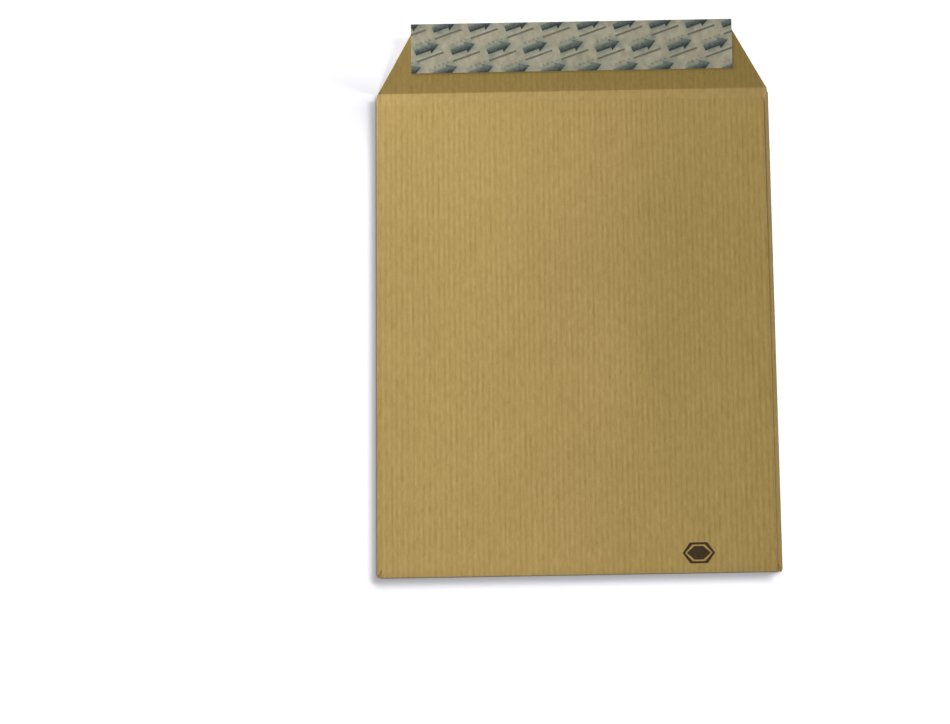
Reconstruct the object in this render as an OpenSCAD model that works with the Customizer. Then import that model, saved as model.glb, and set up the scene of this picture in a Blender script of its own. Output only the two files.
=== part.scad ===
// Peel-and-seal paper envelope, lying on its address side with the closure flap open.
// One folded sheet makes the front panel, two side flaps folded in at its edges, the back
// panel folded up over them at the bottom, and the closure flap, creased at the mouth.
// The sheet is drawn as bent strips: a section is swept across the fold and then cut to
// the outline that the blank has there. X is across, +Y runs to the flap, +Z is up, and
// the origin is the middle of the front panel's underside.

/* [Envelope] */
// Width over the two side folds
env_w = 162; // [110:1:330]
// Height from the bottom fold to the crease of the closure flap
env_h = 229; // [150:1:460]
// Thickness of the kraft paper
paper_t = 0.13; // [0.08:0.01:0.25]
// Room between the front panel and the side flaps in the flat pocket
pocket_gap = 0.2; // [0.1:0.02:0.6]

/* [Side flaps] */
// Width of each side flap inside the pocket
side_flap_w = 16; // [8:0.5:30]
// Cut-back of a side flap's free corners, which slants its two ends
side_flap_slant = 26; // [5:0.5:40]
// Notch between a side flap and the bottom fold
bottom_notch = 0.8; // [0.6:0.1:5]
// Notch between a side flap and the shoulder below the closure flap
mouth_notch = 0.3; // [0.1:0.1:8]

/* [Back panel] */
// Distance of its cut side edges from the side folds
back_inset = 1.9; // [0.8:0.1:6]
// Distance of its top edge from the crease of the closure flap
mouth_drop = 5.2; // [0.8:0.1:12]
// Radius of its two top corners
back_corner_r = 2; // [0.5:0.1:8]

/* [Seam glue] */
// Thickness of the dried glue film
glue_t = 0.05; // [0.02:0.01:0.1]
// Distance of the film from the edges of the side flap and the back panel
glue_margin = 1.5; // [0.5:0.1:3]

/* [Closure flap] */
// Depth along the paper, from the crease to the far edge
flap_depth = 30.8; // [26:0.2:70]
// Inset of each side at the crease
flap_base_inset = 0.5; // [0.3:0.1:6]
// Inset of each side at the far edge, which gives the taper
flap_tip_inset = 16.8; // [4:0.2:30]
// Radius of the far corners
flap_tip_r = 1; // [0.2:0.1:3]
// Rounding of the corners where the flap's sides meet the side folds
flap_base_r = 1.5; // [0.2:0.1:3]
// Angle at which the opened flap stands above the surface
flap_angle = 12; // [2:1:60]
// Inner radius of the bend at the crease
crease_r = 0.5; // [0.2:0.05:1.5]

/* [Sealing band] */
// Depth of the adhesive band
adhesive_depth = 16; // [8:0.5:17]
// Distance of its ends from the far corners of the flap
adhesive_end_margin = 2; // [0.5:0.1:6]
// Thickness of the adhesive film
adhesive_t = 0.05; // [0.02:0.01:0.1]

/* [Release strip] */
// Depth of the strip, from the flap's far edge towards the crease
strip_depth = 21.8; // [18:0.2:24]
// Overhang of each end past the flap's far corner
strip_overhang = 2.4; // [0:0.1:4]
// Thickness of the siliconised paper
strip_t = 0.06; // [0.04:0.01:0.12]

/* [Print on the release strip] */
// Thickness of the printed film
ink_t = 0.02; // [0.01:0.01:0.04]
// Distance between arrows along a row
arrow_pitch = 15; // [12:0.5:30]
// Distance between rows
row_pitch = 10; // [8:0.5:16]
// Slant of the arrows and lines
print_slant = 20; // [0:1:40]
// Length of an arrow
arrow_l = 10.5; // [7:0.5:11]
// Width of an arrow's head
arrow_head_w = 5.4; // [3:0.1:7]
// Length of an arrow's head
arrow_head_l = 4.2; // [2:0.1:6]
// Width of an arrow's shaft
arrow_shaft_w = 2.6; // [1:0.1:3]
// Length of the line under each arrow
line_l = 12; // [5:0.5:14]
// Width of the line under each arrow
line_w = 0.8; // [0.3:0.1:1.5]
// Distance of the line from the arrow's middle
line_drop = 4; // [3.8:0.1:5]

/* [Printed mark on the back panel] */
// Width of the mark over its points
mark_w = 13; // [6:0.5:20]
// Height of the mark
mark_h = 9.6; // [4:0.2:14]
// Depth of its two pointed ends
mark_point = 3; // [1:0.1:3]
// Width of the bare ring inside the mark
mark_ring_w = 0.7; // [0.3:0.1:1]
// Width of the printed border outside the ring
mark_border = 1; // [0.5:0.1:1.3]
// Distance of its middle from the right side fold
mark_from_side = 33.3; // [15:0.1:60]
// Distance of its middle from the bottom fold
mark_from_bottom = 9; // [8:0.1:60]

/* [Hidden] */

kraft = [0.70, 0.58, 0.36];
dried_glue = [0.88, 0.85, 0.74];
clear_adhesive = [0.85, 0.84, 0.78];
grey_liner = [0.63, 0.61, 0.53];
ink_blue = [0.20, 0.29, 0.40];
ink_grey_blue = [0.45, 0.51, 0.54];
ink_brown = [0.22, 0.14, 0.09];

// Straight pieces that a bend or a rounded corner is drawn with
BEND_STEPS = 12;
CORNER_STEPS = 6;

// Heights of the plies, from the surface up
side_flap_z = paper_t + pocket_gap;
glue_z = side_flap_z + paper_t;
back_z = glue_z + glue_t;
stack_h = back_z + paper_t;

// Outer radii of the two kinds of fold
side_fold_r = (side_flap_z + paper_t) / 2;
bottom_fold_r = stack_h / 2;

// Straight part of the front panel, between its folds
panel_x = env_w / 2 - side_fold_r;
bottom_y = -env_h / 2 + bottom_fold_r;
crease_y = env_h / 2;

back_x = env_w / 2 - back_inset;
back_top_y = crease_y - mouth_drop;

// The shoulder where the front panel's straight side edge ends below the closure flap
shoulder_y = crease_y - flap_base_inset - flap_base_r;

side_low_y = bottom_y + bottom_notch;
side_high_y = shoulder_y - mouth_notch;
side_free_x = env_w / 2 - side_flap_w;

// The bend at the crease turns about a line above the paper, and the flap runs on from it
crease_outer_r = crease_r + paper_t;
bend_l = (crease_r + paper_t / 2) * flap_angle * PI / 180;
flap_l = flap_depth - bend_l;
flap_base_x = env_w / 2 - flap_base_inset;
flap_tip_x = env_w / 2 - flap_tip_inset;
flap_foot = [crease_y + crease_outer_r * sin(flap_angle),
             crease_outer_r * (1 - cos(flap_angle))];
flap_tip_y = flap_foot[0] + flap_l * cos(flap_angle);

strip_x = flap_tip_x + strip_overhang;
strip_mid = flap_l - strip_depth / 2;
adhesive_x = flap_tip_x - adhesive_end_margin;

// Points on the arc that rounds corner b of an outline which runs from a through b to c
function rounded_corner(a, b, c, r) =
    let (to_a = (a - b) / norm(a - b),
         to_c = (c - b) / norm(c - b),
         half = acos(to_a * to_c) / 2,
         centre = b + (to_a + to_c) / norm(to_a + to_c) * r / sin(half),
         start = b + to_a * r / tan(half) - centre,
         turn = sign(cross(b - a, c - b)) * (180 - 2 * half))
    [for (i = [0:CORNER_STEPS])
        let (angle = atan2(start[1], start[0]) + turn * i / CORNER_STEPS)
        centre + r * [cos(angle), sin(angle)]];

// An outline with each corner rounded by its own radius, where 0 leaves it sharp
function rounded_outline(corners, radii) =
    let (n = len(corners))
    [for (i = [0:n - 1])
        each radii[i] > 0
            ? rounded_corner(corners[(i + n - 1) % n], corners[i],
                             corners[(i + 1) % n], radii[i])
            : [corners[i]]];

// Section of a strip of paper. Each step is the place of its outer face and the
// direction from there to its inner face.
function strip_section(steps) =
    concat([for (s = steps) s[0]],
           [for (i = [len(steps) - 1:-1:0]) steps[i][0] + paper_t * steps[i][1]]);

// Steps round a bend that starts on the surface and curls up about its own centre line
function bend_steps(start, outer_r, angle) =
    [for (i = [0:BEND_STEPS])
        let (a = angle * i / BEND_STEPS)
        [start + outer_r * [sin(a), 1 - cos(a)], [-sin(a), cos(a)]]];

// Front panel and closure flap in section, from the bottom fold to the flap's far edge
front_section = strip_section(concat(
    [[[bottom_y, 0], [0, 1]]],
    bend_steps([crease_y, 0], crease_outer_r, flap_angle),
    [[flap_foot + flap_l * [cos(flap_angle), sin(flap_angle)],
      [-sin(flap_angle), cos(flap_angle)]]]));

// A section in the Y-Z plane swept across X
module sweep_across(half_width, section) {
    translate([-half_width, 0, 0])
        rotate([90, 0, 90])
            linear_extrude(2 * half_width)
                polygon(section);
}

// The front panel, the crease and the tapered flap, cut to the blank's outline
module front_panel_and_flap() {
    corners = [[-panel_x, bottom_y], [panel_x, bottom_y], [panel_x, shoulder_y],
               [flap_base_x, crease_y], [flap_tip_x, flap_tip_y],
               [-flap_tip_x, flap_tip_y], [-flap_base_x, crease_y],
               [-panel_x, shoulder_y]];
    radii = [0, 0, 0, flap_base_r, flap_tip_r, flap_tip_r, flap_base_r, 0];
    intersection() {
        sweep_across(panel_x, front_section);
        translate([0, 0, -paper_t])
            linear_extrude(flap_depth + stack_h)
                polygon(rounded_outline(corners, radii));
    }
}

// The bottom fold and the back panel, whose cut edges stay inside the side folds
module back_panel() {
    fold = [for (s = bend_steps([0, 0], bottom_fold_r, 180))
        [[bottom_y - s[0][0], s[0][1]], [-s[1][0], s[1][1]]]];
    top = [[[back_top_y, stack_h], [0, -1]]];
    corners = [[-back_x, -env_h / 2], [back_x, -env_h / 2],
               [back_x, back_top_y], [-back_x, back_top_y]];
    intersection() {
        sweep_across(back_x, strip_section(concat(fold, top)));
        linear_extrude(stack_h)
            polygon(rounded_outline(corners, [0, 0, back_corner_r, back_corner_r]));
    }
}

// How far a side flap's slanted ends are cut back at a distance x from the middle
function cut_back(x) = side_flap_slant * (panel_x - x) / (panel_x - side_free_x);

// The right side fold and side flap, whose ends slant towards its free edge
module side_flap() {
    fold = bend_steps([panel_x, 0], side_fold_r, 180);
    free_edge = [[[side_free_x, 2 * side_fold_r], [0, -1]]];
    length = side_high_y - side_low_y;
    intersection() {
        translate([0, side_high_y, 0])
            rotate([90, 0, 0])
                linear_extrude(length)
                    polygon(strip_section(concat(fold, free_edge)));
        linear_extrude(2 * side_fold_r)
            polygon([[env_w / 2, side_low_y], [env_w / 2, side_high_y],
                     [panel_x, side_high_y], [side_free_x, side_high_y - side_flap_slant],
                     [side_free_x, side_low_y + side_flap_slant], [panel_x, side_low_y]]);
    }
}

// Glue film between the right side flap and the back panel, inside the edges of both
module seam_glue() {
    sides = [side_free_x + glue_margin, back_x - glue_margin];
    low_y = [for (x = sides) side_low_y + cut_back(x) + glue_margin];
    high_y = [for (x = sides) min(side_high_y - cut_back(x), back_top_y) - glue_margin];
    color(dried_glue)
        translate([0, 0, glue_z])
            linear_extrude(glue_t)
                polygon([[sides[0], low_y[0]], [sides[1], low_y[1]],
                         [sides[1], high_y[1]], [sides[0], high_y[0]]]);
}

// Places its children on the inner face of the opened flap, Y from the crease outwards
module on_flap(height) {
    translate([0, flap_foot[0], flap_foot[1]])
        rotate([flap_angle, 0, 0])
            translate([0, 0, paper_t + height])
                children();
}

module strip_outline() {
    translate([-strip_x, flap_l - strip_depth])
        square([2 * strip_x, strip_depth]);
}

// One arrow, pointing along X about its middle
module arrow_shape() {
    neck = arrow_l / 2 - arrow_head_l;
    polygon([[-arrow_l / 2, -arrow_shaft_w / 2], [neck, -arrow_shaft_w / 2],
             [neck, -arrow_head_w / 2], [arrow_l / 2, 0], [neck, arrow_head_w / 2],
             [neck, arrow_shaft_w / 2], [-arrow_l / 2, arrow_shaft_w / 2]]);
}

// Repeats its children over the strip in staggered rows and trims them at its edges
module printed_on_strip(ink) {
    columns = ceil(strip_x / arrow_pitch) + 1;
    rows = ceil(strip_depth / 2 / row_pitch);
    color(ink)
        on_flap(adhesive_t + strip_t)
            linear_extrude(ink_t)
                intersection() {
                    strip_outline();
                    for (row = [-rows:rows], column = [-columns:columns])
                        translate([(column + abs(row) % 2 / 2) * arrow_pitch,
                                   strip_mid + row * row_pitch])
                            rotate(print_slant)
                                children();
                }
}

// The sheet itself: every panel and flap in one piece
module envelope() {
    color(kraft)
        union() {
            front_panel_and_flap();
            back_panel();
            side_flap();
            mirror([1, 0, 0])
                side_flap();
        }
}

module left_seam_glue() {
    mirror([1, 0, 0])
        seam_glue();
}

module right_seam_glue() {
    seam_glue();
}

// Tacky band that closes the envelope once the strip over it is peeled off
module sealing_adhesive() {
    color(clear_adhesive)
        on_flap(0)
            translate([-adhesive_x, strip_mid - adhesive_depth / 2, 0])
                cube([2 * adhesive_x, adhesive_depth, adhesive_t]);
}

// Peel-off liner, square-ended, so its far corners stand past the flap's slanted sides
module release_strip() {
    color(grey_liner)
        on_flap(adhesive_t)
            linear_extrude(strip_t)
                strip_outline();
}

module strip_print_arrows() {
    printed_on_strip(ink_blue)
        arrow_shape();
}

module strip_print_lines() {
    printed_on_strip(ink_grey_blue)
        translate([-line_l / 2, -line_drop - line_w / 2])
            square([line_l, line_w]);
}

// Elongated six-sided shape about its middle
module mark_shape(inset) {
    half_w = mark_w / 2 - inset;
    half_h = mark_h / 2 - inset;
    polygon([[half_w, 0], [half_w - mark_point, half_h], [mark_point - half_w, half_h],
             [-half_w, 0], [mark_point - half_w, -half_h], [half_w - mark_point, -half_h]]);
}

// Printed mark on the back panel: a border, a bare ring and a filled middle
module back_print() {
    color(ink_brown)
        translate([env_w / 2 - mark_from_side, mark_from_bottom - env_h / 2, stack_h])
            linear_extrude(ink_t) {
                difference() {
                    mark_shape(0);
                    mark_shape(mark_border);
                }
                mark_shape(mark_border + mark_ring_w);
            }
}

envelope();
left_seam_glue();
right_seam_glue();
sealing_adhesive();
release_strip();
strip_print_arrows();
strip_print_lines();
back_print();
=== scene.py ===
from math import cos, pi, radians, sin

import bmesh
import bpy
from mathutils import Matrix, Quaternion, Vector


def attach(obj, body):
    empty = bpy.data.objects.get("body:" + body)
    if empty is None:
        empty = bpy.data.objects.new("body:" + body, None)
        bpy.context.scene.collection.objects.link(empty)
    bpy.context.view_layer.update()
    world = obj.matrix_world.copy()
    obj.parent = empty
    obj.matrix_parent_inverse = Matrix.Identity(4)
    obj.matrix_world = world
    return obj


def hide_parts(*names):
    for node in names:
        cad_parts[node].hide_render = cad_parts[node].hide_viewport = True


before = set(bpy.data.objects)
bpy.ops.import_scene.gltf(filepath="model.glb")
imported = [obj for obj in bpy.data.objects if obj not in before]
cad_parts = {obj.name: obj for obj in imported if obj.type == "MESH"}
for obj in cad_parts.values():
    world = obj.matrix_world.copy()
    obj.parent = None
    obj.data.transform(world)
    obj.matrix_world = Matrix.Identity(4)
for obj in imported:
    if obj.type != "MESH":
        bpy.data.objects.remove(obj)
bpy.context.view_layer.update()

mm = 0.001
bpy.ops.object.select_all(action="DESELECT")

# Camera. A long lens looks down on the envelope from its bottom end, at the photograph's
# angle, turned by a couple of degrees so that the sides run as they do there.
aim = Vector((-41.21, -14.82, 0)) * mm
camera_distance = 3214.4 * mm
azimuth, elevation, roll = radians(1.649), radians(59.506), radians(-2.405)
towards_camera = Vector((sin(azimuth) * cos(elevation), -cos(azimuth) * cos(elevation),
                         sin(elevation)))
turned = towards_camera.to_track_quat("Z", "Y") @ Quaternion((0, 0, 1), roll)
bpy.ops.object.camera_add(location=aim + towards_camera * camera_distance,
                          rotation=turned.to_euler())
camera = bpy.context.object
camera.name = "camera"
camera.data.lens = 300
camera.data.sensor_width = 36
camera.data.clip_end = 100
bpy.context.scene.camera = camera
bpy.context.scene.view_settings.view_transform = "Standard"


# Table and light. A smooth white table top under plain, soft studio light. A long low lamp
# and a higher one on the right light the table. A broad sky, a low lamp beyond the flap on
# the left and a weak one above the bottom fold light the envelope.
def add_node(material, kind, inputs=(), **settings):
    """Adds a shader node, sets its options and fills or connects its inputs."""
    node = material.node_tree.nodes.new(kind)
    for name, value in settings.items():
        setattr(node, name, value)
    for socket, source in inputs:
        if isinstance(source, bpy.types.NodeSocket):
            material.node_tree.links.new(source, node.inputs[socket])
        else:
            node.inputs[socket].default_value = source
    return node


def seen_directly(material):
    """1 for rays from the camera, in gloss or through glass, and 0 for light on the object."""
    path = add_node(material, "ShaderNodeLightPath")
    gloss = add_node(material, "ShaderNodeMath", [(0, path.outputs["Is Camera Ray"]),
                                                  (1, path.outputs["Is Glossy Ray"])],
                     operation="MAXIMUM")
    glass = add_node(material, "ShaderNodeMath", [(0, gloss.outputs[0]),
                                                  (1, path.outputs["Is Transmission Ray"])],
                     operation="MAXIMUM")
    return glass.outputs[0]


sky = bpy.data.worlds.new("studio_sky")
bpy.context.scene.world = sky
sky.use_nodes = True
sky_light = 0.22
sky_strength = add_node(sky, "ShaderNodeMapRange", [("Value", seen_directly(sky)),
                                                    ("To Min", sky_light), ("To Max", 1.0)])
sky.node_tree.nodes["Background"].inputs["Color"].default_value = (1, 1, 1, 1)
sky.node_tree.links.new(sky_strength.outputs[0],
                        sky.node_tree.nodes["Background"].inputs["Strength"])

table_gap = 0.02 * mm
bpy.ops.mesh.primitive_plane_add(size=12, location=(0, 0, -table_gap))
table = bpy.context.object
table.name = "table_top"
table_white = bpy.data.materials.new("table_white")
table_white.use_nodes = True
table_shader = table_white.node_tree.nodes["Principled BSDF"]
table_shader.inputs["Base Color"].default_value = (0.86, 0.862, 0.895, 1)
table_shader.inputs["Roughness"].default_value = 0.9
table_shader.inputs["Specular IOR Level"].default_value = 0
table.data.materials.append(table_white)


def add_sun(name, azimuth, elevation, share, softness):
    """A distant light that gives a level surface that share of full light. Its azimuth runs
    from +Y towards +X, and its softness is its width in degrees."""
    a, e = radians(azimuth), radians(elevation)
    from_side = Vector((sin(a) * cos(e), cos(a) * cos(e), sin(e)))
    bpy.ops.object.light_add(type="SUN", location=from_side,
                             rotation=from_side.to_track_quat("Z", "Y").to_euler())
    lamp = bpy.context.object
    lamp.name = name
    lamp.data.energy = share * pi / sin(e)
    lamp.data.angle = radians(softness)
    return lamp


def light_only(lamp, receiver):
    """The lamp lights only this object, and every object still casts its shadow on it."""
    lit = bpy.data.collections.new(lamp.name + "_lights_only")
    lit.objects.link(receiver)
    lamp.light_linking.receiver_collection = lit


def light_all_but(lamp, left_out):
    """The lamp lights everything but this object."""
    unlit = bpy.data.collections.new(lamp.name + "_leaves_out")
    unlit.objects.link(left_out)
    unlit.collection_objects[0].light_linking.link_state = "EXCLUDE"
    lamp.light_linking.receiver_collection = unlit


def add_soft_lamp(name, place, width, height, watts):
    """A soft box that faces the envelope."""
    bpy.ops.object.light_add(type="AREA", location=place,
                             rotation=Vector(place).to_track_quat("Z", "Y").to_euler())
    lamp = bpy.context.object
    lamp.name = name
    lamp.data.shape = "RECTANGLE"
    lamp.data.size = width
    lamp.data.size_y = height
    lamp.data.energy = watts
    return lamp


low_table_lamp = add_soft_lamp("low_table_lamp", place=(8.57, 8.28, 1.4), width=15.6,
                               height=0.71, watts=11900)
light_only(low_table_lamp, table)
high_table_lamp = add_sun("high_table_lamp", azimuth=78, elevation=34, share=0.263, softness=20)
light_only(high_table_lamp, table)
far_lamp = add_soft_lamp("far_lamp", place=(-0.306, 0.436, 0.1), width=0.24, height=0.09,
                         watts=5.9)
light_all_but(far_lamp, table)
near_lamp = add_soft_lamp("near_lamp", place=(-0.07, -0.144, 0.28), width=0.12, height=0.12,
                          watts=0.52)
light_all_but(near_lamp, table)

# Kraft sheet. One cut and creased blank of ribbed brown kraft paper makes the front panel,
# the two side flaps, the bottom fold, the back panel and the closure flap. It is folded by
# machine, and its back panel is glued down on the side flaps.
paper_thickness = 0.13 * mm
body_half_width = 81 * mm
bottom_fold_y = -114.18 * mm
bottom_fold_radius = 0.32 * mm
side_fold_x = 80.77 * mm
side_fold_radius = 0.23 * mm
crease_y = 114.5 * mm
back_half_width = 79.1 * mm
back_top_y = 109.3 * mm
back_corner_radius = 2 * mm
shoulder_y = 112.5 * mm  # the front panel narrows from here to the crease
side_low_y, side_high_y = -113.38 * mm, 112.2 * mm
side_flap_free_x = 65 * mm
side_flap_slant = 26 * mm
flap_base_half_width = 80.5 * mm
flap_tip_half_width = 64.2 * mm
flap_angle = radians(12)
crease_outer_radius = 0.63 * mm
flap_run = 30.68 * mm
flap_tip_radius = 1 * mm
fold_steps, crease_steps, corner_steps = 12, 4, 8
panel_columns, panel_rows = 54, 76
side_columns, flap_rows = 5, 14
tiny = 0.001 * mm


def pick(kind, test):
    """Selects in edit mode only those vertices or edges that pass a test of their middle, their
    corners and whether they lie on the border."""
    mesh = bpy.context.object.data
    bpy.ops.mesh.select_mode(type=kind)
    bpy.ops.mesh.select_all(action="DESELECT")
    edit_mesh = bmesh.from_edit_mesh(mesh)
    for part in edit_mesh.verts if kind == "VERT" else edit_mesh.edges:
        corners = [part.co] if kind == "VERT" else [v.co for v in part.verts]
        middle = sum(corners, Vector()) / len(corners)
        if test(middle, corners, part.is_boundary):
            part.select_set(True)
    edit_mesh.select_flush_mode()
    bmesh.update_edit_mesh(mesh)


def cut_line(place, across):
    """Cuts the whole mesh along a plane through a place."""
    bpy.ops.mesh.select_all(action="SELECT")
    bpy.ops.mesh.bisect(plane_co=place, plane_no=across, use_fill=False)


# Front panel
front_middle_y = (bottom_fold_y + crease_y) / 2
bpy.ops.mesh.primitive_grid_add(x_subdivisions=panel_columns, y_subdivisions=panel_rows, size=1,
                                location=(0, front_middle_y, 0))
sheet = bpy.context.object
sheet.name = "kraft_sheet"
bpy.ops.object.transform_apply(location=True, rotation=True, scale=True)
bpy.ops.object.mode_set(mode="EDIT")
bpy.ops.transform.resize(value=(2 * side_fold_x, crease_y - bottom_fold_y, 1),
                         center_override=(0, front_middle_y, 0))
for x in (-back_half_width, -side_flap_free_x, side_flap_free_x, back_half_width):
    cut_line((x, 0, 0), (1, 0, 0))
for y in (side_low_y, side_high_y, shoulder_y):
    cut_line((0, y, 0), (0, 1, 0))

# Bottom fold and back panel, with rounded corners at the mouth
pick("EDGE", lambda m, c, border: border and abs(m.y - bottom_fold_y) < tiny
     and max(abs(v.x) for v in c) < back_half_width + tiny)
bpy.ops.mesh.spin(steps=fold_steps, angle=pi, axis=(1, 0, 0),
                  center=(0, bottom_fold_y, bottom_fold_radius))
back_z = 2 * bottom_fold_radius
back_step = (back_top_y - bottom_fold_y) / panel_rows
for row in range(panel_rows):
    y = bottom_fold_y + back_step * row
    pick("EDGE", lambda m, c, border: border and abs(m.z - back_z) < tiny
         and all(abs(v.y - y) < tiny for v in c) and abs(c[0].y - c[1].y) < tiny
         and abs(c[0].x - c[1].x) > tiny)
    bpy.ops.mesh.extrude_region_move(TRANSFORM_OT_translate={"value": (0, back_step, 0)})
pick("VERT", lambda m, c, border: abs(m.z - back_z) < tiny and abs(m.y - back_top_y) < tiny
     and abs(abs(m.x) - back_half_width) < tiny)
bpy.ops.mesh.bevel(offset=back_corner_radius, segments=corner_steps, affect="VERTICES",
                   profile=0.5)

# Side folds and side flaps, with slanted ends
side_middle_y = (side_low_y + side_high_y) / 2
side_length = side_high_y - side_low_y
side_z = 2 * side_fold_radius
side_step = (side_flap_free_x - side_fold_x) / side_columns
for side in (-1, 1):
    pick("EDGE", lambda m, c, border: border and abs(m.x - side * side_fold_x) < tiny
         and abs(m.z) < tiny and side_low_y < m.y < side_high_y)
    bpy.ops.mesh.spin(steps=fold_steps, angle=pi, axis=(0, side, 0),
                      center=(side * side_fold_x, 0, side_fold_radius))
    for column in range(side_columns):
        x = side_fold_x + side_step * column
        pick("EDGE", lambda m, c, border: border and abs(m.z - side_z) < tiny
             and all(abs(v.x - side * x) < tiny for v in c))
        bpy.ops.mesh.extrude_region_move(
            TRANSFORM_OT_translate={"value": (side * side_step, 0, 0)})
        before = side_length - 2 * side_flap_slant * column / side_columns
        after = side_length - 2 * side_flap_slant * (column + 1) / side_columns
        bpy.ops.transform.resize(value=(1, after / before, 1),
                                 center_override=(0, side_middle_y, 0))

# Crease and closure flap, tapered, with rounded corners at its far edge
pick("VERT", lambda m, c, border: abs(m.z) < tiny and abs(m.y - crease_y) < tiny
     and abs(abs(m.x) - side_fold_x) < tiny)
bpy.ops.transform.resize(value=(flap_base_half_width / side_fold_x, 1, 1),
                         center_override=(0, 0, 0))
pick("EDGE", lambda m, c, border: border and abs(m.z) < tiny
     and all(abs(v.y - crease_y) < tiny for v in c))
bpy.ops.mesh.spin(steps=crease_steps, angle=flap_angle, axis=(-1, 0, 0),
                  center=(0, crease_y, crease_outer_radius))
foot_y = crease_y + crease_outer_radius * sin(flap_angle)
foot_z = crease_outer_radius * (1 - cos(flap_angle))
tip_y = foot_y + flap_run * cos(flap_angle)
tip_z = foot_z + flap_run * sin(flap_angle)
flap_step_y, flap_step_z = (tip_y - foot_y) / flap_rows, (tip_z - foot_z) / flap_rows


def flap_half_width(y):
    """Half the closure flap's width at a distance along Y."""
    share = (y - crease_y) / (tip_y - crease_y)
    return flap_base_half_width + (flap_tip_half_width - flap_base_half_width) * share


for row in range(flap_rows):
    y = foot_y + flap_step_y * row
    z = foot_z + flap_step_z * row
    pick("EDGE", lambda m, c, border: border and all(abs(v.y - y) < tiny and abs(v.z - z) < tiny
                                                     for v in c))
    bpy.ops.mesh.extrude_region_move(
        TRANSFORM_OT_translate={"value": (0, flap_step_y, flap_step_z)})
    width_here = flap_base_half_width if row == 0 else flap_half_width(y)
    bpy.ops.transform.resize(value=(flap_half_width(y + flap_step_y) / width_here, 1, 1),
                             center_override=(0, 0, 0))
pick("VERT", lambda m, c, border: abs(m.y - tip_y) < tiny
     and abs(abs(m.x) - flap_tip_half_width) < tiny)
bpy.ops.mesh.bevel(offset=flap_tip_radius, segments=corner_steps, affect="VERTICES", profile=0.5)
bpy.ops.mesh.select_all(action="SELECT")
bpy.ops.mesh.remove_doubles(threshold=tiny)
bpy.ops.mesh.normals_make_consistent(inside=False)
bpy.ops.object.mode_set(mode="OBJECT")


def start_material(name, specular):
    """A new material with its shader, and the object's own coordinates for its pattern."""
    material = bpy.data.materials.new(name)
    material.use_nodes = True
    shader = material.node_tree.nodes["Principled BSDF"]
    shader.inputs["Specular IOR Level"].default_value = specular
    place = add_node(material, "ShaderNodeTexCoord").outputs["Object"]
    return material, shader, place


def remap(material, value, low, high, to_low, to_high):
    """Stretches a range of values to another one, and holds it at its ends."""
    return add_node(material, "ShaderNodeMapRange",
                    [("Value", value), ("From Min", low), ("From Max", high),
                     ("To Min", to_low), ("To Max", to_high)]).outputs[0]


def noise(material, place, cells, detail=2.0, turn=0.0, offset=0.0):
    """Cloudy pattern from -1 to 1, with its cells per metre along X, Y and Z."""
    turned = add_node(material, "ShaderNodeMapping", [("Vector", place),
                                                      ("Rotation", (0, 0, radians(turn)))])
    stretched = add_node(material, "ShaderNodeMapping", [("Vector", turned.outputs[0]),
                                                         ("Location", (offset, offset, 0)),
                                                         ("Scale", cells)])
    cloud = add_node(material, "ShaderNodeTexNoise", [("Vector", stretched.outputs[0]),
                                                      ("Scale", 1.0), ("Detail", detail)])
    return remap(material, cloud.outputs["Fac"], 0.25, 0.75, -1.0, 1.0)


def calc(material, operation, *values):
    """One step of arithmetic on sockets and numbers."""
    return add_node(material, "ShaderNodeMath", list(enumerate(values)),
                    operation=operation).outputs[0]


def mix_in(material, under, over, share):
    """Two colours, the second laid over the first by a share that is held from 0 to 1."""
    mix = add_node(material, "ShaderNodeMix", data_type="RGBA")
    factor, first_colour, second_colour = mix.inputs[0], mix.inputs[6], mix.inputs[7]
    material.node_tree.links.new(share, factor)
    first_colour.default_value = (*under, 1)
    second_colour.default_value = (*over, 1)
    return mix.outputs[2]


def shade(material, colour, tone):
    """A colour made lighter or darker by a factor."""
    return add_node(material, "ShaderNodeVectorMath", [(0, colour), ("Scale", tone)],
                    operation="SCALE").outputs[0]


def finish_surface(material, shader, colour, roughness, height, relief):
    """Connects colour and roughness, and a height pattern as relief of that many metres."""
    bump = add_node(material, "ShaderNodeBump", [("Height", height), ("Distance", relief),
                                                 ("Strength", 1.0)])
    for source, socket in ((colour, "Base Color"), (roughness, "Roughness"),
                           (bump.outputs[0], "Normal")):
        material.node_tree.links.new(source, shader.inputs[socket])


rib_pitch = 2.16 * mm
# Painted shade on the left-hand fold, painted light on the right-hand fold and below the crease,
# real rubbing on the bottom fold.
left_fold_painted_shade = -0.2
right_fold_painted_light, bottom_fold_wear, mouth_painted_light = 0.3, 0.5, 0.2


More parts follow.
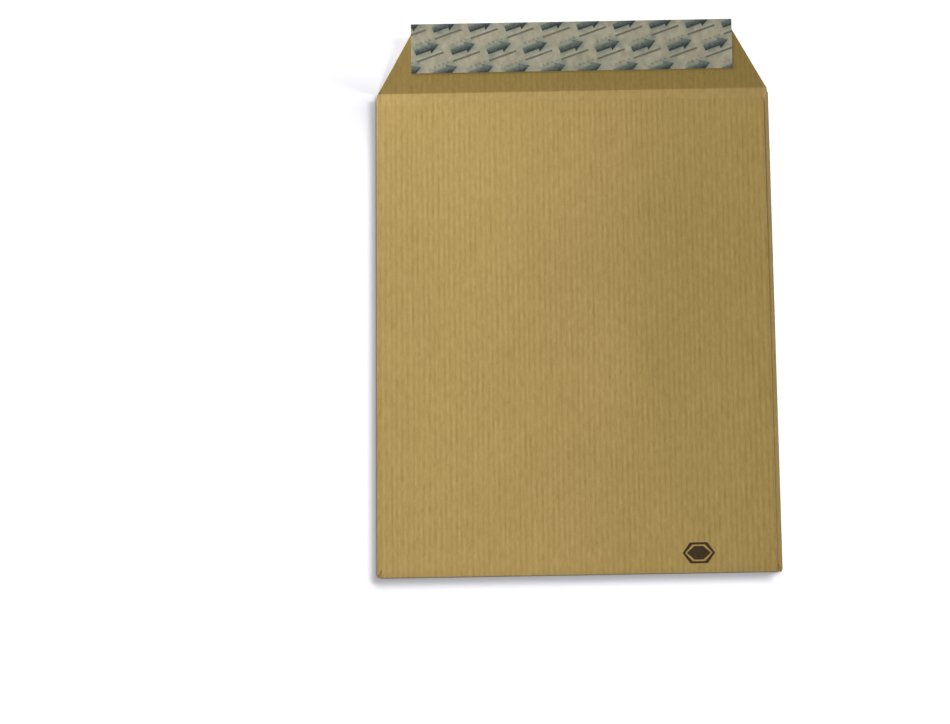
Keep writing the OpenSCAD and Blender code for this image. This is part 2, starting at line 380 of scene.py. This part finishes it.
def kraft(name, colour, rubbed_and_painted_light_colour, rib_depth):
    """Ribbed kraft paper, with broken dark and pale lines along the web, loose fibres, bark
    flecks and mottle. It is rubbed paler at the bottom fold. Painted light makes it paler on the
    right-hand fold and on the band below the crease, and painted shade darkens the left-hand
    fold."""
    material, shader, place = start_material(name, specular=0.2)
    parts = add_node(material, "ShaderNodeSeparateXYZ", [("Vector", place)])

    # Ribs, which wander a little and are broken into dark and pale dashes
    wander = calc(material, "MULTIPLY", noise(material, place, (25, 9, 25), 1.0), 0.25 * mm)
    shiver = noise(material, place, (210, 10, 210), 1.0, offset=2.6)
    wander = calc(material, "MULTIPLY_ADD", shiver, 0.3 * mm, wander)
    across = calc(material, "ADD", parts.outputs["X"], wander)
    wave = calc(material, "SINE", calc(material, "MULTIPLY", across, 2 * pi / rib_pitch))
    dark_dashes = noise(material, place, (460, 105, 460))
    dark_dashes = remap(material, dark_dashes, -0.7, 0.8, 0.08, 1.0)
    dark_line = calc(material, "POWER", remap(material, wave, -1.0, 1.0, 0.0, 1.0), 4.0)
    dark_line = calc(material, "MULTIPLY", dark_line, dark_dashes)
    pale_dashes = noise(material, place, (460, 115, 460), offset=5.3)
    pale_dashes = remap(material, pale_dashes, -0.5, 0.9, 0.05, 1.0)
    pale_line = calc(material, "POWER", remap(material, wave, -1.0, 1.0, 1.0, 0.0), 4.0)
    pale_line = calc(material, "MULTIPLY", pale_line, pale_dashes)
    tone = calc(material, "MULTIPLY_ADD", dark_line, -rib_depth, 1.0)
    tone = calc(material, "MULTIPLY_ADD", pale_line, 0.9 * rib_depth, tone)

    # Streaks, mottle, clouds and grain of the pulp
    streaks = noise(material, place, (1000, 110, 1000), 3.0, offset=3.1)
    mottle = noise(material, place, (330, 220, 330), 3.0, offset=7.7)
    cloud = noise(material, place, (26, 19, 26), 2.0, offset=1.9)
    grain = noise(material, place, (3000, 1700, 3000), 3.0)
    dapple = noise(material, place, (1050, 270, 1050), 2.0, offset=8.8)
    for pattern, amount in ((streaks, 0.035), (mottle, 0.03), (cloud, 0.025), (dapple, 0.075),
                            (grain, 0.05)):
        tone = calc(material, "MULTIPLY_ADD", pattern, amount, tone)

    # Loose fibres that lie in four directions, two paler and two darker
    fibres = None
    for turn, amount in ((18, 0.09), (-24, -0.11), (67, 0.08), (-71, -0.09)):
        strand = noise(material, place, (6500, 420, 6500), 2.0, turn=turn, offset=turn)
        strand = remap(material, strand, 0.45, 0.75, 0.0, 1.0)
        tone = calc(material, "MULTIPLY_ADD", strand, amount, tone)
        fibres = strand if fibres is None else calc(material, "MAXIMUM", fibres, strand)

    # Bark flecks
    spots = add_node(material, "ShaderNodeTexVoronoi", [("Vector", place), ("Scale", 420.0)])
    size = remap(material, spots.outputs["Color"], 0.72, 1.0, 0.0, 0.17)
    fleck = calc(material, "LESS_THAN", spots.outputs["Distance"], size)
    tone = calc(material, "MULTIPLY_ADD", fleck, -0.22, tone)

    # Painted shade on the left-hand fold, painted light on the right-hand fold and below the
    # crease, and wear on the bottom fold
    x, y = parts.outputs["X"], parts.outputs["Y"]
    # Painted shade: darker towards the left-hand edge, over the fold and up to the back panel's
    # cut edge.
    painted_left_shade = remap(material, x, -body_half_width, -back_half_width, left_fold_painted_shade, 0.0)
    tone = calc(material, "ADD", tone, painted_left_shade)
    # Painted light: paler from the back panel's right-hand cut edge out over the fold, lifting
    # the shadow that the cut edge casts there.
    wear_and_painted_light = remap(material, x, back_half_width, back_half_width + 0.3 * mm, 0.0, right_fold_painted_light)
    # Real wear: the bottom fold is rubbed paler.
    low_fold = remap(material, y, bottom_fold_y + 0.28 * mm, bottom_fold_y - 0.22 * mm, 0.0,
                     bottom_fold_wear)
    wear_and_painted_light = calc(material, "MAXIMUM", wear_and_painted_light, low_fold)
    # Painted light: paler on the band from the back panel's top edge up to the crease, which the
    # raised flap shades.
    mouth = remap(material, y, back_top_y - 0.4 * mm, back_top_y, 0.0, mouth_painted_light)
    before_crease = remap(material, y, crease_y, crease_y + 0.4 * mm, 1.0, 0.0)
    wear_and_painted_light = calc(material, "MULTIPLY_ADD", mouth, before_crease, wear_and_painted_light)
    base = mix_in(material, colour, rubbed_and_painted_light_colour, wear_and_painted_light)

    # Roughness and relief
    roughness = calc(material, "MULTIPLY_ADD", mottle, 0.06, 0.74)
    height = calc(material, "MULTIPLY", fibres, 0.35)
    height = calc(material, "MULTIPLY_ADD", dark_line, 0.6, height)
    height = calc(material, "MULTIPLY_ADD", grain, 0.25, height)

    # A change of tone acts more on green and most on blue, so what is darker is warmer.
    change = calc(material, "SUBTRACT", tone, 1.0)
    green, blue = (calc(material, "MULTIPLY_ADD", change, amount, 1.0) for amount in (1.12, 1.8))
    tones = add_node(material, "ShaderNodeCombineXYZ", [("X", tone), ("Y", green), ("Z", blue)])
    toned = add_node(material, "ShaderNodeVectorMath", [(0, base), (1, tones.outputs[0])],
                     operation="MULTIPLY")
    finish_surface(material, shader, toned.outputs[0], roughness, height, 0.012 * mm)
    return material


# Paler kraft, used for the rubbed bottom fold and as painted light on the right-hand fold and
# below the crease.
rubbed_and_painted_light_kraft = (0.5, 0.37, 0.17)
for name, brown, rib_depth in (("kraft_outside", (0.375, 0.257, 0.078), 0.16),
                               ("kraft_inside", (0.366, 0.25, 0.07), 0.1),
                               ("kraft_cut_edge", (0.34, 0.235, 0.09), 0.0)):
    sheet.data.materials.append(kraft(name, brown, rubbed_and_painted_light_kraft, rib_depth))


def ramp(value, low, high):
    """0 below low, 1 above high and smooth between."""
    t = min(max((value - low) / (high - low), 0), 1)
    return t * t * (3 - 2 * t)


# The glued seams keep the back panel flat along both sides. Its free middle bows up with slight
# waves, from a little above the bottom fold, and less towards the mouth.
bow_height, wave_height, wave_length = 0.9 * mm, 0.9 * mm, 70 * mm
seam_to_full_bow = 48 * mm
bow_starts_above_fold, bow_full_above_fold = 14 * mm, 80 * mm
mouth_easing, mouth_easing_from_y = 0.55, 50 * mm
loose = sheet.vertex_groups.new(name="loose_back_panel")
for vertex in sheet.data.vertices:
    x, y, z = vertex.co
    if abs(z - back_z) < tiny and y > bottom_fold_y:
        weight = ramp(side_flap_free_x - abs(x), 0, seam_to_full_bow)
        weight *= ramp(y - bottom_fold_y, bow_starts_above_fold, bow_full_above_fold)
        weight *= 1 - mouth_easing * ramp(y, mouth_easing_from_y, back_top_y)
        loose.add([vertex.index], weight, "REPLACE")
bow = sheet.modifiers.new("bow", "DISPLACE")
bow.direction = "Z"
bow.mid_level = 0
bow.strength = bow_height
bow.vertex_group = loose.name
waves_texture = bpy.data.textures.new("paper_waves", "CLOUDS")
waves_texture.noise_scale = wave_length
waves_texture.noise_depth = 1
waves = sheet.modifiers.new("waves", "DISPLACE")
waves.direction = "Z"
waves.texture = waves_texture
waves.texture_coords = "LOCAL"
waves.mid_level = 0.3
waves.strength = wave_height
waves.vertex_group = loose.name
thickness = sheet.modifiers.new("thickness", "SOLIDIFY")
thickness.thickness = paper_thickness
thickness.offset = -1
thickness.use_even_offset = True
thickness.material_offset = 1  # the inner face
thickness.material_offset_rim = 2  # the cut edges
bpy.context.view_layer.objects.active = sheet
for modifier in list(sheet.modifiers):
    bpy.ops.object.modifier_apply(modifier=modifier.name)
bpy.ops.object.shade_smooth_by_angle(angle=radians(35))

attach(sheet, "root")
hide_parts("envelope")


# Seam glue. Two bands of starch glue between side flaps and back panel, dried to a thin
# film that is slightly yellow and satin.
def finish_film(material, shader, colour, pattern, tone_change, roughness, roughness_change,
                relief):
    """Finishes a thin film whose tone, roughness and relief all follow one pattern."""
    tone = calc(material, "MULTIPLY_ADD", pattern, tone_change, 1.0)
    varied = calc(material, "MULTIPLY_ADD", pattern, roughness_change, roughness)
    finish_surface(material, shader, shade(material, colour, tone), varied, pattern, relief)


def dress(node, material):
    """Gives a CAD node its finish, in every material slot that it has."""
    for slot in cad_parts[node].material_slots:
        slot.material = material


glue, glue_shader, place = start_material("dried_glue_film", specular=0.45)
ripples = noise(glue, place, (700, 180, 700), 2.0)
finish_film(glue, glue_shader, (0.62, 0.54, 0.34), ripples, tone_change=0.08,
            roughness=0.42, roughness_change=0.08, relief=0.02 * mm)
dress("left_seam_glue", glue)
dress("right_seam_glue", glue)

# Sealing adhesive. A band of clear tacky hot melt, coated along the flap and covered by the
# release strip until the envelope is sealed. It is glossy and drawn into fine threads.
adhesive, adhesive_shader, place = start_material("tacky_film", specular=0.5)
pulls = noise(adhesive, place, (300, 1500, 300), 3.0)
finish_film(adhesive, adhesive_shader, (0.6, 0.56, 0.42), pulls, tone_change=0.06,
            roughness=0.25, roughness_change=0.06, relief=0.02 * mm)
dress("sealing_adhesive", adhesive)

# Release strip. Thin glassine paper with a silicone coat, laid on the adhesive by its glossy
# face and peeled off to seal the envelope. It is a yellowish grey with a greenish tint
# round each printed arrow, and a faint dashed line is printed above each arrow.
greenish_liner, yellowish_liner = (0.27, 0.3, 0.228), (0.448, 0.416, 0.3)
row_pitch, arrow_pitch = 10 * mm, 15 * mm  # every second row is moved by half a pitch
strip_middle = 19.78 * mm  # from the crease, along the flap
print_slant = radians(20)
tint_fades_above = 1.6 * mm, 3.4 * mm  # from full tint to none, from an arrow's middle
tint_fades_along = 4 * mm, 6.5 * mm
dashes_above_arrow = 3.1 * mm
dashes_half_length, dashes_half_width = 4 * mm, 0.6 * mm
dash_pitch = 1.9 * mm


def from_nearest_arrow(material, place):
    """Distances above and along the long middle line of the nearest arrow on the strip."""
    parts = add_node(material, "ShaderNodeSeparateXYZ", [("Vector", place)])
    out = calc(material, "SUBTRACT", parts.outputs["Y"], foot_y)
    out = calc(material, "MULTIPLY", out, cos(flap_angle))
    out = calc(material, "MULTIPLY_ADD", parts.outputs["Z"], sin(flap_angle), out)
    out = calc(material, "SUBTRACT", out, strip_middle)
    row = calc(material, "ROUND", calc(material, "DIVIDE", out, row_pitch))
    up = calc(material, "MULTIPLY_ADD", row, -row_pitch, out)
    stagger = calc(material, "MULTIPLY", calc(material, "PINGPONG", row, 1.0), arrow_pitch / 2)
    across = calc(material, "SUBTRACT", parts.outputs["X"], stagger)
    column = calc(material, "ROUND", calc(material, "DIVIDE", across, arrow_pitch))
    across = calc(material, "MULTIPLY_ADD", column, -arrow_pitch, across)
    above = calc(material, "MULTIPLY_ADD", up, cos(print_slant),
                 calc(material, "MULTIPLY", across, -sin(print_slant)))
    along = calc(material, "MULTIPLY_ADD", across, cos(print_slant),
                 calc(material, "MULTIPLY", up, sin(print_slant)))
    return above, along


liner, liner_shader, place = start_material("siliconised_liner", specular=0.45)
formation = noise(liner, place, (420, 300, 420), 4.0)
bands = noise(liner, place, (35, 60, 35), 2.0, offset=4.4)
speckle = noise(liner, place, (3500, 3500, 3500), 2.0)
tone = 1.0
for pattern, amount in ((formation, 0.2), (bands, 0.08), (speckle, 0.03)):
    tone = calc(liner, "MULTIPLY_ADD", pattern, amount, tone)
liner_height = calc(liner, "MULTIPLY_ADD", bands, 2.0, formation)
above, along = from_nearest_arrow(liner, place)
beside = remap(liner, calc(liner, "ABSOLUTE", above), *tint_fades_above, 0.0, 1.0)
from_middle = calc(liner, "ABSOLUTE", along)
beyond = remap(liner, from_middle, *tint_fades_along, 0.0, 1.0)
patches = noise(liner, place, (260, 210, 260), 2.0, offset=6.2)
away = calc(liner, "MULTIPLY_ADD", patches, 0.5, calc(liner, "MAXIMUM", beside, beyond))
liner_colour = mix_in(liner, greenish_liner, yellowish_liner, away)
from_line = calc(liner, "ABSOLUTE", calc(liner, "SUBTRACT", above, dashes_above_arrow))
line = remap(liner, from_line, dashes_half_width / 2, dashes_half_width, 1.0, 0.0)
ends = remap(liner, from_middle, dashes_half_length - 0.2 * mm, dashes_half_length, 1.0, 0.0)
dashes = calc(liner, "SINE", calc(liner, "MULTIPLY", along, 2 * pi / dash_pitch))
dashes = remap(liner, dashes, -0.7, -0.2, 0.0, 1.0)
dashed_line = calc(liner, "MULTIPLY", line, calc(liner, "MULTIPLY", ends, dashes))
tone = calc(liner, "MULTIPLY_ADD", dashed_line, -0.3, tone)
liner_roughness = calc(liner, "MULTIPLY_ADD", formation, 0.05, 0.4)
finish_surface(liner, liner_shader, shade(liner, liner_colour, tone), liner_roughness,
               liner_height, 0.01 * mm)
dress("release_strip", liner)

# Print on the strip. Slanted arrows and lines in a thin film of slate blue ink, dense along
# the lower edge of each arrow and screened to a pale tint above it.
dense_ink, screened_ink, line_ink = (0.024, 0.037, 0.04), (0.175, 0.2, 0.17), (0.17, 0.16, 0.12)
for node in ("strip_print_arrows", "strip_print_lines"):
    ink, ink_shader, place = start_material(node + "_ink", specular=0.3)
    coverage = noise(ink, place, (900, 900, 900), 4.0)
    if node == "strip_print_arrows":
        above = from_nearest_arrow(ink, place)[0]
        above = calc(ink, "MULTIPLY_ADD", coverage, 0.5 * mm, above)
        screen = remap(ink, above, -1.0 * mm, 1.1 * mm, 0.0, 1.0)
        colour = mix_in(ink, dense_ink, screened_ink, screen)
    else:
        screen = remap(ink, coverage, -0.2, 1.0, 0.0, 1.0)
        colour = mix_in(ink, line_ink, screened_ink, screen)
    finish_film(ink, ink_shader, colour, coverage, tone_change=0.15,
                roughness=0.45, roughness_change=0.06, relief=0.005 * mm)
    dress(node, ink)

# Printed mark. A plain six-sided ring and spot in matt brown ink, printed on the back panel
# near the bottom fold. The ink soaks unevenly into the paper.
mark_ink, mark_shader, place = start_material("brown_mark_ink", specular=0.1)
soak = noise(mark_ink, place, (1200, 500, 1200), 4.0)
finish_film(mark_ink, mark_shader, (0.045, 0.026, 0.012), soak, tone_change=0.3,
            roughness=0.7, roughness_change=0.06, relief=0.008 * mm)
dress("back_print", mark_ink)
